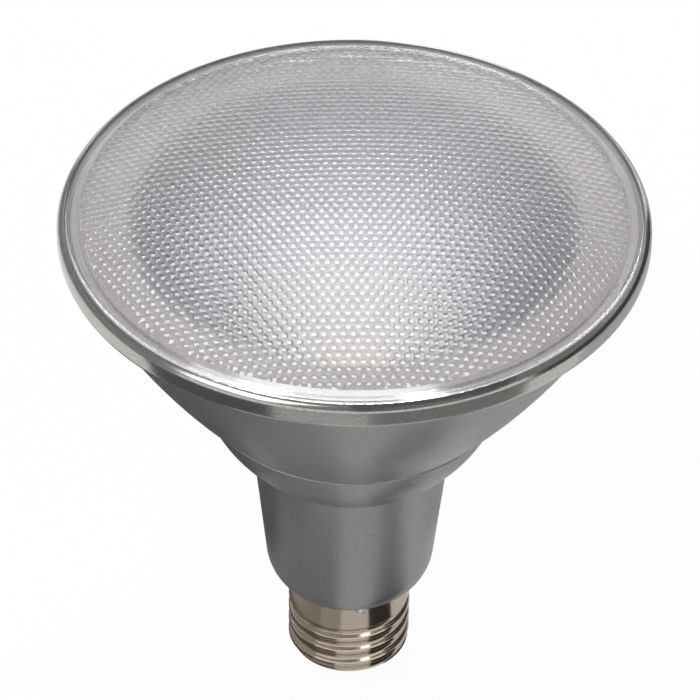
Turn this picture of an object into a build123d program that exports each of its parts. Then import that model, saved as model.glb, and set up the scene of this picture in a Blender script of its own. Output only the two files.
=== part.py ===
"""Reflector spotlight lamp with a medium screw cap, taken apart into the pieces it is built from.

The axis of the lamp is Z. Height 0 is the underside of the centre contact, and the lens looks up.
Turned and moulded shells are half sections, drawn as (radius, height) and revolved about Z.
"""
import os
from math import cos, radians, sin, sqrt, tan

from build123d import *

# Screw cap
cap_diameter = 26.2
thread_pitch = 3.629
thread_depth = 0.8
thread_round = 1.19
thread_flank = 45.0
thread_edge = 12.0
thread_overcut = 0.05
thread_start_drop = 1.6
thread_turns = 4.25
thread_end_round = 2.0
shell_height = 19.6
shell_wall = 0.45
shell_corner = 2.0
shell_lip_width = 2.5
contact_to_shell = 5.5
contact_diameter = 9.8
contact_thickness = 1.3
contact_round = 0.5
contact_shank_diameter = 3.8
insulator_foot_rim = 0.75
insulator_foot_height = 0.8
insulator_core_height = 3.0

# Neck housing, with the heel that carries the bowl
neck_height = 36.25
neck_top_radius = 21.0
neck_taper = 5.96
neck_foot_round = 9.9
neck_foot_overhang = 0.35
neck_wall = 2.2
spigot_wall = 1.8
spigot_lift = 1.0
heel_height = 16.0
heel_arc_radius = 32.0
heel_proud = 0.2
heel_fillet = 0.8
heel_edge_round = 0.25

# Bowl housing
bowl_height = 40.4
bowl_foot_radius = 31.75
bowl_lip_radius = 58.1
bowl_arc_radius = 182.0
bowl_wall = 1.8
bowl_seat_width = 3.4
bowl_seat_thickness = 1.8

# Trim ring, and the stack that it holds together
rim_diameter = 122.0
ring_wall = 0.9
ring_taper = 0.6
ring_foot_round = 1.2
ring_lip_thickness = 1.0
bezel_lip_thickness = 1.23
bezel_lip_width = 0.6
bezel_round = 0.3
flange_thickness = 1.0
gasket_thickness = 0.6
gasket_width = 1.9

# Lens
lens_flange_thickness = 1.25
lens_border_width = 3.05
lens_edge_round = 0.8
lens_stand = 0.75
lens_dome_radius = 197.7
lens_thickness = 2.0

# Reflector
reflector_wall = 1.2
reflector_mouth_radius = 45.3
reflector_foot_radius = 20.0
reflector_arc_radius = 60.0

# Light engine
spreader_plate = 2.5
spreader_skirt = 1.4
spreader_skirt_height = 14.0
pad_thickness = 0.5
led_board_radius = 27.0
led_board_thickness = 1.6
led_width = 2.8
led_length = 3.5
led_height = 0.8
inner_led_radius = 9.0
inner_led_count = 6
outer_led_radius = 15.5
outer_led_count = 12
screw_circle_radius = 24.0
screw_count = 3
screw_diameter = 2.9
screw_head_diameter = 5.0
screw_head_height = 2.0
screw_bite = 8.0
post_radius = 3.1

# Driver board and what is soldered to it
board_thickness = 1.6
board_face = 2.2
board_headroom = 8.0
board_tab_height = 20.0
rail_thickness = 1.2
rail_bite = 1.6
rail_length = 24.0
rail_ledge = 1.5
core_width = 16.0
core_height = 14.0
core_depth = 5.0
core_leg = 3.0
winding_depth = 9.0
output_capacitor_diameter = 10.0
input_capacitor_height = 10.0
film_capacitor_width = 4.5
film_capacitor_length = 10.0
film_capacitor_height = 8.0
capacitor_lift = 11.5
component_gap = 0.7
choke_diameter = 6.0
choke_height = 6.0
varistor_diameter = 7.0
varistor_thickness = 3.5
fuse_diameter = 3.0
fuse_length = 8.0
fuse_drop = 10.4
bridge_width = 6.5
bridge_height = 4.7
bridge_thickness = 2.5
chip_width = 5.0
chip_height = 4.0
chip_thickness = 1.6

# Leads
lead_diameter = 0.9
lead_bend = 1.0
led_lead_spacing = 7.0
led_lead_reach = 3.0
led_lead_rise = 2.4
live_lead_drop = 15.0
neutral_lead_offset = 2.5
neutral_lead_drop = 0.8
neutral_lead_rise = 3.0
solder_radius = 1.15

# Fits
slip_fit = 0.15
hole_clearance = 0.2
running_gap = 0.3

# Heights, from the contact upwards
z_shell = contact_to_shell
z_neck = z_shell + shell_height
z_heel = z_neck + neck_height
z_bowl = z_heel + heel_height
z_ring = z_bowl + bowl_height
z_flange = z_ring + ring_lip_thickness
z_gasket = z_flange + flange_thickness
z_lens = z_gasket + gasket_thickness
z_bezel = z_lens + lens_flange_thickness
z_front = z_bezel + bezel_lip_thickness
z_field = z_front + lens_stand
z_seat = z_bowl + bowl_seat_thickness
z_pad = z_seat + spreader_plate
z_board = z_pad + pad_thickness
z_leds = z_board + led_board_thickness
z_lip = z_shell + shell_wall
z_insulator = z_lip + insulator_core_height
z_spigot = z_insulator + spigot_lift

# Radii that several pieces share
cap_radius = cap_diameter / 2
bore_radius = cap_radius - thread_depth - shell_wall
lip_radius = cap_radius - shell_lip_width
spigot_radius = bore_radius - slip_fit
spigot_bore = spigot_radius - spigot_wall
ring_radius = rim_diameter / 2
ring_bore = ring_radius - ring_wall
flange_radius = ring_bore - slip_fit
bezel_radius = ring_bore - bezel_lip_width
lens_radius = bezel_radius - running_gap
field_radius = lens_radius - lens_border_width
gasket_outer = flange_radius - slip_fit
gasket_inner = gasket_outer - gasket_width
heel_top_radius = bowl_foot_radius + heel_proud
screw_radius = screw_diameter / 2
lead_radius = lead_diameter / 2

# Thread groove: a round root, a straight flank and a round crest that meets the shell at a small angle
z_thread = z_shell - thread_start_drop
root_rise = thread_round * (1 - cos(radians(thread_flank)))
crest_rise = thread_round * (cos(radians(thread_edge)) - cos(radians(thread_flank)))
flank_length = (thread_depth + thread_overcut - root_rise - crest_rise) / sin(radians(thread_flank))


def arc_centre(low, high, radius):
    """Centre of the arc from low to high that bulges away from the axis and downwards."""
    run = high[0] - low[0]
    rise = high[1] - low[1]
    chord = sqrt(run**2 + rise**2)
    reach = sqrt(radius**2 - (chord / 2) ** 2)
    return (
        (low[0] + high[0]) / 2 - rise / chord * reach,
        (low[1] + high[1]) / 2 + run / chord * reach,
    )


def on_arc(centre, radius, height):
    """Point on the outer side of a circle, at a height."""
    return (centre[0] + sqrt(radius**2 - (height - centre[1]) ** 2), height)


def arc_points(centre, radius, z_from, z_to):
    """Three points of a circle's outer side, between two heights."""
    return [on_arc(centre, radius, height) for height in (z_from, (z_from + z_to) / 2, z_to)]


def dome_point(radius, distance):
    """Point of the lens's dome, or of a sphere about the same centre, at a distance from the axis."""
    return (distance, dome_centre + sqrt(radius**2 - distance**2))


dome_centre = z_field - sqrt(lens_dome_radius**2 - field_radius**2)

# Bowl and heel are arcs in section
bowl_centre = arc_centre((bowl_foot_radius, z_bowl), (bowl_lip_radius, z_ring), bowl_arc_radius)
bowl_bore = bowl_arc_radius - bowl_wall
spreader_arc = bowl_bore - slip_fit
seat_opening = on_arc(bowl_centre, bowl_bore, z_seat)[0] - bowl_seat_width
heel_centre = arc_centre((neck_top_radius, z_heel), (heel_top_radius, z_bowl), heel_arc_radius)
heel_bore = heel_arc_radius - neck_wall

# The neck's foot is a round that is tangent to the cone and ends over the edge of the cap
taper = radians(neck_taper)
lean = tan(taper)
foot_edge = (cap_radius + neck_foot_overhang, z_neck)
foot_track = neck_top_radius - neck_height * lean - neck_foot_round / cos(taper) - foot_edge[0]
foot_rise = (
    sqrt(neck_foot_round**2 * (1 + lean**2) - foot_track**2) - foot_track * lean
) / (1 + lean**2)
foot_centre = (foot_edge[0] + foot_track + foot_rise * lean, z_neck + foot_rise)
foot_bore = neck_foot_round - neck_wall
z_foot = foot_centre[1] - neck_foot_round * sin(taper)


def neck_radius(height, inset=0.0):
    """Radius of the neck's cone at a height, or of a cone set into its wall."""
    return neck_top_radius - (z_heel - height) * lean - inset / cos(taper)


# Driver bay in the neck
z_board_top = z_bowl - board_headroom
z_tab = z_foot - board_tab_height
board_back = board_face + board_thickness
bay_radius = neck_radius(z_foot, neck_wall)
board_half_width = sqrt(bay_radius**2 - board_back**2) - running_gap
tab_half_width = sqrt(spigot_bore**2 - board_back**2) - running_gap
rail_inner = board_half_width - rail_bite
capacitor_spacing = (output_capacitor_diameter / 2 + rail_inner) / 2
input_capacitor_diameter = rail_inner - output_capacitor_diameter / 2 - 2 * component_gap
bay_depth = board_face + sqrt((bay_radius - running_gap) ** 2 - (output_capacitor_diameter / 2) ** 2)
z_capacitors = z_foot + capacitor_lift
z_lead_bend = z_board_top - led_lead_rise
z_core = z_lead_bend - lead_radius - running_gap - core_height / 2
core_y = board_face - winding_depth / 2
window_height = core_height - 2 * core_leg
window_width = (core_width - 3 * core_leg) / 2
front_of_board = Plane.XZ.offset(-board_face)
back_of_board = Plane.ZX.offset(board_back)

# Lens: a domed disc with a plain border, and a flange that the ring's lip holds down
with BuildPart() as lens:
    inner_dome = lens_dome_radius - lens_thickness
    with BuildSketch(Plane.XZ):
        with BuildLine():
            crown = dome_point(lens_dome_radius, 0)
            edge = dome_point(lens_dome_radius, lens_radius)
            inner_crown = dome_point(inner_dome, 0)
            inner_edge = dome_point(inner_dome, field_radius)
            ThreePointArc(crown, dome_point(lens_dome_radius, lens_radius / 2), edge)
            Polyline(
                edge,
                (lens_radius, z_bezel),
                (flange_radius, z_bezel),
                (flange_radius, z_lens),
                (field_radius, z_lens),
                inner_edge,
            )
            ThreePointArc(inner_edge, dome_point(inner_dome, field_radius / 2), inner_crown)
            Line(inner_crown, crown)
        make_face()
    revolve(axis=Axis.Z)
    lens_rims = lens.edges().filter_by(GeomType.CIRCLE)
    fillet(lens_rims.filter_by_position(Axis.Z, edge[1] - slip_fit, edge[1] + slip_fit), lens_edge_round)

# Trim ring: a barrel-shaped hoop with a lip over the lens and a lip under the bowl's flange
with BuildPart() as trim_ring:
    ring_lip_radius = bowl_lip_radius + running_gap
    widest = (ring_radius, z_ring + ring_foot_round)
    ring_foot = (ring_radius - ring_foot_round / 2, z_ring)
    ring_top = (ring_radius - ring_taper, z_front)
    with BuildSketch(Plane.XZ):
        with BuildLine():
            TangentArc(widest, ring_foot, tangent=(0, -1))
            TangentArc(widest, ring_top, tangent=(0, 1))
            Polyline(
                ring_top,
                (bezel_radius, z_front),
                (bezel_radius, z_bezel),
                (ring_bore, z_bezel),
                (ring_bore, z_flange),
                (ring_lip_radius, z_flange),
                (ring_lip_radius, z_ring),
                ring_foot,
            )
        make_face()
    revolve(axis=Axis.Z)
    bezel_edges = trim_ring.faces().sort_by(Axis.Z)[-1].edges()
    fillet(bezel_edges, bezel_round)

# Gasket between the bowl's flange and the lens
with BuildPart() as lens_gasket:
    with BuildSketch(Plane.XY.offset(z_gasket)):
        Circle(gasket_outer)
        Circle(gasket_inner, mode=Mode.SUBTRACT)
    extrude(amount=gasket_thickness)

# Bowl housing: a thin flared shell with a flange at the mouth and a seat at the foot
with BuildPart() as bowl_housing:
    bowl_mouth = on_arc(bowl_centre, bowl_bore, z_ring)[0]
    with BuildSketch(Plane.XZ):
        with BuildLine():
            bowl_outside = arc_points(bowl_centre, bowl_arc_radius, z_bowl, z_ring)
            bowl_inside = arc_points(bowl_centre, bowl_bore, z_ring, z_seat)
            ThreePointArc(*bowl_outside)
            Polyline(
                bowl_outside[-1],
                (bowl_lip_radius, z_flange),
                (flange_radius, z_flange),
                (flange_radius, z_gasket),
                (bowl_mouth, z_gasket),
                bowl_inside[0],
            )
            ThreePointArc(*bowl_inside)
            Polyline(
                bowl_inside[-1],
                (seat_opening, z_seat),
                (seat_opening, z_bowl),
                bowl_outside[0],
            )
        make_face()
    revolve(axis=Axis.Z)

# Posts for the light engine's screws and rails for the driver board, held inside the neck's wall
with BuildPart() as neck_fittings:
    with BuildSketch(Plane.XY.offset(z_heel)):
        with PolarLocations(screw_circle_radius, screw_count, start_angle=90):
            Circle(post_radius)
    extrude(amount=z_seat - z_heel)
    for side in (-1, 1):
        with BuildSketch(Plane.XY.offset(z_foot)):
            for face in (board_face - slip_fit - rail_thickness, board_back + slip_fit):
                with Locations((side * (rail_inner + neck_top_radius) / 2, face + rail_thickness / 2)):
                    Rectangle(neck_top_radius - rail_inner, rail_thickness)
        extrude(amount=rail_length)
        with BuildSketch(Plane.XY.offset(z_foot - rail_ledge)):
            with Locations((side * (rail_inner + neck_top_radius) / 2, (board_face + board_back) / 2)):
                Rectangle(neck_top_radius - rail_inner, board_thickness + 2 * (rail_thickness + slip_fit))
        extrude(amount=rail_ledge)
    with BuildSketch(Plane.XZ):
        with BuildLine():
            wall_middle = neck_wall / 2
            heel_middle = arc_points(heel_centre, heel_arc_radius - wall_middle, z_heel + neck_wall, z_bowl)
            low_middle = (neck_radius(z_foot, neck_wall), z_foot - rail_ledge)
            ThreePointArc(*heel_middle)
            Polyline(
                heel_middle[-1],
                (seat_opening - slip_fit, z_bowl),
                (seat_opening - slip_fit, z_seat),
                (0, z_seat),
                (0, low_middle[1]),
                low_middle,
                (neck_radius(z_foot, wall_middle), z_foot),
                heel_middle[0],
            )
        make_face()
    revolve(axis=Axis.Z, mode=Mode.INTERSECT)

# Neck housing: spigot for the cap, rounded foot, cone and heel in one moulding
with BuildPart() as neck_housing:
    heel_inside = arc_points(heel_centre, heel_bore, z_bowl, z_heel + neck_wall / 2)
    with BuildSketch(Plane.XZ):
        with BuildLine():
            foot_outside = arc_points(foot_centre, neck_foot_round, z_neck, z_foot)
            foot_low = foot_centre[1] - sqrt(foot_bore**2 - (spigot_bore - foot_centre[0]) ** 2)
            foot_inside = arc_points(foot_centre, foot_bore, z_foot, foot_low)
            heel_outside = arc_points(heel_centre, heel_arc_radius, z_heel, z_bowl)
            Polyline(
                foot_inside[-1],
                (spigot_bore, z_spigot),
                (spigot_radius, z_spigot),
                (spigot_radius, z_neck),
                foot_outside[0],
            )
            ThreePointArc(*foot_outside)
            Line(foot_outside[-1], heel_outside[0])
            ThreePointArc(*heel_outside)
            Line(heel_outside[-1], heel_inside[0])
            ThreePointArc(*heel_inside)
            Line(heel_inside[-1], foot_inside[0])
            ThreePointArc(*foot_inside)
        make_face()
    revolve(axis=Axis.Z)
    rings = neck_housing.edges().filter_by(GeomType.CIRCLE)
    fillet(rings.filter_by_position(Axis.Z, z_heel - slip_fit, z_heel + slip_fit), heel_fillet)
    rings = neck_housing.edges().filter_by(GeomType.CIRCLE).group_by(Axis.Z)[-1]
    fillet(rings.sort_by(SortBy.RADIUS)[-1], heel_edge_round)
    add(neck_fittings.part)
    with BuildSketch(Plane.XY.offset(z_seat)):
        with PolarLocations(screw_circle_radius, screw_count, start_angle=90):
            Circle(screw_radius + slip_fit / 2)
    extrude(amount=-screw_bite - running_gap, mode=Mode.SUBTRACT)
    notch_height = neutral_lead_drop + lead_radius + slip_fit
    with Locations((neutral_lead_offset, -cap_radius, z_neck)):
        Box(
            lead_diameter + 2 * slip_fit,
            2 * (cap_radius - spigot_bore / 2),
            notch_height,
            align=(Align.CENTER, Align.CENTER, Align.MAX),
            mode=Mode.SUBTRACT,
        )

# Heat spreader: a pressed cup whose skirt lies against the bowl
with BuildPart() as heat_spreader:
    z_skirt = z_seat + spreader_skirt_height
    with BuildSketch(Plane.XZ):
        with BuildLine():
            skirt_outside = arc_points(bowl_centre, spreader_arc, z_seat, z_skirt)
            skirt_inside = arc_points(bowl_centre, spreader_arc - spreader_skirt, z_skirt, z_pad)
            Line((0, z_seat), skirt_outside[0])
            ThreePointArc(*skirt_outside)
            Line(skirt_outside[-1], skirt_inside[0])
            ThreePointArc(*skirt_inside)
            Polyline(skirt_inside[-1], (0, z_pad), (0, z_seat))
        make_face()
    revolve(axis=Axis.Z)
    with BuildSketch(Plane.XY.offset(z_seat)):
        with PolarLocations(screw_circle_radius, screw_count, start_angle=90):
            Circle(screw_radius + hole_clearance)
        with GridLocations(led_lead_spacing, 0, 2, 1):
            Circle(lead_radius + hole_clearance)
    extrude(amount=spreader_plate, mode=Mode.SUBTRACT)

# Thermal pad under the light-source board
with BuildPart() as thermal_pad:
    with BuildSketch(Plane.XY.offset(z_pad)):
        Circle(led_board_radius)
        with PolarLocations(screw_circle_radius, screw_count, start_angle=90):
            Circle(screw_radius + hole_clearance, mode=Mode.SUBTRACT)
        with GridLocations(led_lead_spacing, 0, 2, 1):
            Circle(lead_radius + hole_clearance, mode=Mode.SUBTRACT)
    extrude(amount=pad_thickness)

# Light-source board
with BuildPart() as led_board:
    with BuildSketch(Plane.XY.offset(z_board)):
        Circle(led_board_radius)
        with PolarLocations(screw_circle_radius, screw_count, start_angle=90):
            Circle(screw_radius + hole_clearance, mode=Mode.SUBTRACT)
        with GridLocations(led_lead_spacing, 0, 2, 1):
            Circle(lead_radius + hole_clearance, mode=Mode.SUBTRACT)
    extrude(amount=led_board_thickness)

# Light-emitting packages in rings
with BuildPart() as led_packages:
    with BuildSketch(Plane.XY.offset(z_leds)):
        with PolarLocations(inner_led_radius, inner_led_count, start_angle=180 / inner_led_count):
            Rectangle(led_length, led_width)
        with PolarLocations(outer_led_radius, outer_led_count, start_angle=180 / outer_led_count):
            Rectangle(led_length, led_width)
    extrude(amount=led_height)

# Pan-head screws through the board, pad and spreader into the neck's posts
with BuildPart() as board_screws:
    with BuildSketch(Plane.XY.offset(z_leds)):
        with PolarLocations(screw_circle_radius, screw_count, start_angle=90):
            Circle(screw_head_diameter / 2)
    extrude(amount=screw_head_height)
    fillet(board_screws.faces().group_by(Axis.Z)[-1].edges(), screw_head_height / 3)
    with BuildSketch(Plane.XY.offset(z_seat - screw_bite)):
        with PolarLocations(screw_circle_radius, screw_count, start_angle=90):
            Circle(screw_radius)
    extrude(amount=z_leds - z_seat + screw_bite)

# Reflector: a collar on the board, a deep bowl, and a flange clamped under the lens
with BuildPart() as reflector:
    z_flare = z_leds + screw_head_height + running_gap
    flare_foot = (reflector_foot_radius, z_flare)
    flare_mouth = (reflector_mouth_radius, z_lens)
    flare_centre = arc_centre(flare_foot, flare_mouth, reflector_arc_radius)
    flare_back = reflector_arc_radius + reflector_wall
    with BuildSketch(Plane.XZ):
        with BuildLine():
            flare_inside = arc_points(flare_centre, reflector_arc_radius, z_lens, z_flare)
            flare_outside = arc_points(flare_centre, flare_back, z_flare + reflector_wall, z_gasket)
            ThreePointArc(*flare_inside)
            Polyline(
                flare_inside[-1],
                (reflector_foot_radius, z_leds),
                (reflector_foot_radius + reflector_wall, z_leds),
                (reflector_foot_radius + reflector_wall, z_flare),
                flare_outside[0],
            )
            ThreePointArc(*flare_outside)
            Polyline(
                flare_outside[-1],
                (gasket_inner - slip_fit, z_gasket),
                (gasket_inner - slip_fit, z_lens),
                flare_inside[0],
            )
        make_face()
    revolve(axis=Axis.Z)

# Driver board, standing on edge in the neck with a tab down into the cap
with BuildPart() as driver_board:
    with BuildSketch(Plane.XZ.offset(-board_back)):
        with BuildLine():
            Polyline(
                (-tab_half_width, z_tab),
                (tab_half_width, z_tab),
                (tab_half_width, z_foot),
                (board_half_width, z_foot),
                (board_half_width, z_board_top),
                (-board_half_width, z_board_top),
                (-board_half_width, z_foot),
                (-tab_half_width, z_foot),
                close=True,
            )
        make_face()
    extrude(amount=board_thickness)

# Transformer core: two windows beside a middle leg
with BuildPart() as transformer_core:
    with BuildSketch(Plane.XZ.offset(-core_y)):
        with Locations((0, z_core)):
            Rectangle(core_width, core_height)
            with GridLocations(window_width + core_leg, 0, 2, 1):
                Rectangle(window_width, window_height, mode=Mode.SUBTRACT)
    extrude(amount=core_depth / 2, both=True)

# Transformer winding round the middle leg
with BuildPart() as transformer_winding:
    with BuildSketch(Plane.XY.offset(z_core - window_height / 2)):
        with Locations((0, core_y)):
            Rectangle(2 * window_width + core_leg, winding_depth)
            Rectangle(core_leg, core_depth, mode=Mode.SUBTRACT)
    extrude(amount=window_height)

# Smoothing capacitor at the output, as tall as the bay lets it be
with BuildPart() as output_capacitor:
    with BuildSketch(front_of_board):
        with Locations((0, z_capacitors)):
            Circle(output_capacitor_diameter / 2)
    extrude(amount=bay_depth)
    fillet(output_capacitor.faces().sort_by(Axis.Y)[0].edges(), output_capacitor_diameter / 16)

# Smoothing capacitor at the input
with BuildPart() as input_capacitor:
    with BuildSketch(front_of_board):
        with Locations((-capacitor_spacing, z_capacitors)):
            Circle(input_capacitor_diameter / 2)
    extrude(amount=input_capacitor_height)
    fillet(input_capacitor.faces().sort_by(Axis.Y)[0].edges(), input_capacitor_diameter / 16)

# Film capacitor, a moulded box
with BuildPart() as film_capacitor:
    with BuildSketch(front_of_board):
        with Locations((capacitor_spacing, z_capacitors)):
            Rectangle(film_capacitor_width, film_capacitor_length)
    extrude(amount=film_capacitor_height)

# Drum choke
with BuildPart() as choke:
    with BuildSketch(front_of_board):
        with Locations((0, z_foot - choke_diameter / 2)):
            Circle(choke_diameter / 2)
    extrude(amount=choke_height)

# Varistor disc on the back of the board
with BuildPart() as varistor:
    with BuildSketch(back_of_board):
        with Locations((z_foot - varistor_diameter / 2, 0)):
            Circle(varistor_diameter / 2)
    extrude(amount=varistor_thickness)

# Bridge rectifier
with BuildPart() as bridge_rectifier:
    with BuildSketch(back_of_board):
        with Locations((z_capacitors, 0)):
            Rectangle(bridge_height, bridge_width)
    extrude(amount=bridge_thickness)

# Switching controller
with BuildPart() as driver_chip:
    with BuildSketch(back_of_board):
        with Locations((z_core, 0)):
            Rectangle(chip_height, chip_width)
    extrude(amount=chip_thickness)

# Fusible resistor lying across the tab
with BuildPart() as fuse_resistor:
    with BuildSketch(Plane.YZ.offset(-fuse_length / 2)):
        with Locations((board_back + fuse_diameter / 2, z_foot - fuse_drop)):
            Circle(fuse_diameter / 2)
    extrude(amount=fuse_length)

# Screw shell: a drawn cup whose wall carries the round cap thread
with BuildPart() as screw_shell:
    with BuildSketch(Plane.XZ):
        with BuildLine():
            corner_start = (cap_radius, z_shell + shell_corner)
            corner_end = (cap_radius - shell_corner, z_shell)
            TangentArc(corner_start, corner_end, tangent=(0, -1))
            Polyline(
                corner_end,
                (lip_radius, z_shell),
                (lip_radius, z_lip),
                (cap_radius - shell_corner, z_lip),
                (bore_radius, z_shell + shell_corner),
                (bore_radius, z_neck),
                (cap_radius, z_neck),
                corner_start,
            )
        make_face()
    revolve(axis=Axis.Z)
    with BuildLine() as thread_path:
        Helix(thread_pitch, thread_pitch * thread_turns, cap_radius, center=(0, 0, z_thread))
    groove_start = thread_path.line @ 0
    groove_end = thread_path.line @ 1
    with BuildSketch(Plane(origin=groove_start, x_dir=(1, 0, 0), z_dir=thread_path.line % 0)):
        with BuildLine():
            root = JernArc((-thread_depth, 0), (0, 1), thread_round, -thread_flank)
            side = Line(root @ 1, root @ 1 + root % 1 * flank_length)
            crest = JernArc(side @ 1, side % 1, thread_round, thread_flank - thread_edge)
            Polyline(crest @ 1, (thread_depth, (crest @ 1).Y), (thread_depth, 0))
            mirror(about=Plane.XZ)
        make_face()
    sweep(path=thread_path.line, is_frenet=True, mode=Mode.SUBTRACT)
    ball_reach = (cap_radius - thread_depth + thread_end_round) / cap_radius
    with Locations((groove_end.X * ball_reach, groove_end.Y * ball_reach, groove_end.Z)):
        Sphere(thread_end_round, mode=Mode.SUBTRACT)
    with Locations((neutral_lead_offset, -cap_radius, z_neck)):
        Box(
            lead_diameter + 2 * slip_fit,
            cap_radius,
            notch_height,
            align=(Align.CENTER, Align.CENTER, Align.MAX),
            mode=Mode.SUBTRACT,
        )

# Insulator that closes the cap and carries the contact
with BuildPart() as base_insulator:
    pocket_radius = contact_diameter / 2 + slip_fit
    foot_radius = pocket_radius + insulator_foot_rim
    with BuildSketch(Plane.XZ):
        with BuildLine():
            Polyline(
                (contact_shank_diameter / 2, contact_thickness),
                (pocket_radius, contact_thickness),
                (pocket_radius, insulator_foot_height),
                (foot_radius, insulator_foot_height),
                (lip_radius - slip_fit, z_shell),
                (lip_radius - slip_fit, z_lip),
                (cap_radius - shell_corner - slip_fit, z_lip),
                (bore_radius - slip_fit, z_shell + shell_corner),
                (bore_radius - slip_fit, z_insulator),
                (contact_shank_diameter / 2, z_insulator),
                close=True,
            )
        make_face()
    revolve(axis=Axis.Z)

# Centre contact, a button with a riveted shank
with BuildPart() as centre_contact:
    with BuildSketch(Plane.XY):
        Circle(contact_diameter / 2)
    extrude(amount=contact_thickness)
    fillet(centre_contact.faces().sort_by(Axis.Z)[0].edges(), contact_round)
    with BuildSketch(Plane.XY.offset(contact_thickness)):
        Circle(contact_shank_diameter / 2)
    extrude(amount=z_insulator - contact_thickness)

# Lead from the driver board to the centre contact
with BuildPart() as live_lead:
    z_live = z_foot - live_lead_drop
    with BuildLine() as live_path:
        FilletPolyline((0, board_face, z_live), (0, 0, z_live), (0, 0, z_insulator), radius=lead_bend)
    with BuildSketch(Plane(origin=live_path.line @ 0, z_dir=live_path.line % 0)):
        Circle(lead_radius)
    sweep(path=live_path.line)

# Lead from the driver board to the edge of the shell
with BuildPart() as neutral_lead:
    z_neutral = z_neck - neutral_lead_drop
    neutral_end = -sqrt(cap_radius**2 - (neutral_lead_offset + lead_radius) ** 2)
    with BuildLine() as neutral_path:
        FilletPolyline(
            (neutral_lead_offset, board_face, z_neutral - neutral_lead_rise),
            (neutral_lead_offset, board_face - neutral_lead_rise, z_neutral - neutral_lead_rise),
            (neutral_lead_offset, board_face - 2 * neutral_lead_rise, z_neutral),
            (neutral_lead_offset, neutral_end, z_neutral),
            radius=lead_bend,
        )
    with BuildSketch(Plane(origin=neutral_path.line @ 0, z_dir=neutral_path.line % 0)):
        Circle(lead_radius)
    sweep(path=neutral_path.line)

# Solder that joins the neutral lead to the shell's edge, shaped by the shell and the neck behind it
with BuildPart() as solder_dot:
    with Locations((neutral_lead_offset, neutral_end, z_neck - solder_radius / 4)):
        Sphere(solder_radius)
    with BuildSketch(Plane.XZ):
        with BuildLine():
            solder_wall = arc_points(foot_centre, neck_foot_round, z_neck, z_foot)
            ThreePointArc(*solder_wall)
            Polyline(
                solder_wall[-1],
                (0, z_foot),
                (0, z_shell),
                (cap_radius, z_shell),
                (cap_radius, z_neck),
                solder_wall[0],
            )
        make_face()
    revolve(axis=Axis.Z, mode=Mode.SUBTRACT)


def led_lead_route(side):
    """Corners of a lead from the driver board up through the spreader to the light-source board."""
    x = side * led_lead_spacing / 2
    z_high = z_leds + led_lead_rise
    return (
        (x, board_face, z_lead_bend),
        (x, 0, z_lead_bend),
        (x, 0, z_high),
        (x, -led_lead_reach, z_high),
        (x, -led_lead_reach, z_leds),
    )


# Leads to the light-source board
with BuildPart() as led_positive_lead:
    with BuildLine() as positive_path:
        FilletPolyline(*led_lead_route(1), radius=lead_bend)
    with BuildSketch(Plane(origin=positive_path.line @ 0, z_dir=positive_path.line % 0)):
        Circle(lead_radius)
    sweep(path=positive_path.line)

with BuildPart() as led_negative_lead:
    with BuildLine() as negative_path:
        FilletPolyline(*led_lead_route(-1), radius=lead_bend)
    with BuildSketch(Plane(origin=negative_path.line @ 0, z_dir=negative_path.line % 0)):
        Circle(lead_radius)
    sweep(path=negative_path.line)

# Files, one for each piece
pieces = {
    "lens": lens,
    "trim_ring": trim_ring,
    "lens_gasket": lens_gasket,
    "bowl_housing": bowl_housing,
    "neck_housing": neck_housing,
    "reflector": reflector,
    "heat_spreader": heat_spreader,
    "thermal_pad": thermal_pad,
    "led_board": led_board,
    "led_packages": led_packages,
    "board_screws": board_screws,
    "driver_board": driver_board,
    "transformer_core": transformer_core,
    "transformer_winding": transformer_winding,
    "output_capacitor": output_capacitor,
    "input_capacitor": input_capacitor,
    "film_capacitor": film_capacitor,
    "choke": choke,
    "varistor": varistor,
    "bridge_rectifier": bridge_rectifier,
    "driver_chip": driver_chip,
    "fuse_resistor": fuse_resistor,
    "led_positive_lead": led_positive_lead,
    "led_negative_lead": led_negative_lead,
    "live_lead": live_lead,
    "neutral_lead": neutral_lead,
    "screw_shell": screw_shell,
    "solder_dot": solder_dot,
    "base_insulator": base_insulator,
    "centre_contact": centre_contact,
}
os.makedirs("parts", exist_ok=True)
for name, piece in pieces.items():
    piece.part.label = name
    export_step(piece.part, f"parts/{name}.step")
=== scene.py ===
"""Looks of the reflector spotlight lamp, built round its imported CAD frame.

Every length is in metres, in the frame of the CAD: Z is the lamp's axis, and the lens looks up.
A name that ends in _mm is in millimetres, and a field that holds an angle is in degrees.
"""

import logging
from dataclasses import dataclass, field
from enum import Enum
from math import cos, floor, pi, radians, sin, sqrt
from typing import Any, ClassVar

import bmesh
import bpy
from mathutils import Matrix, Vector

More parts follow.
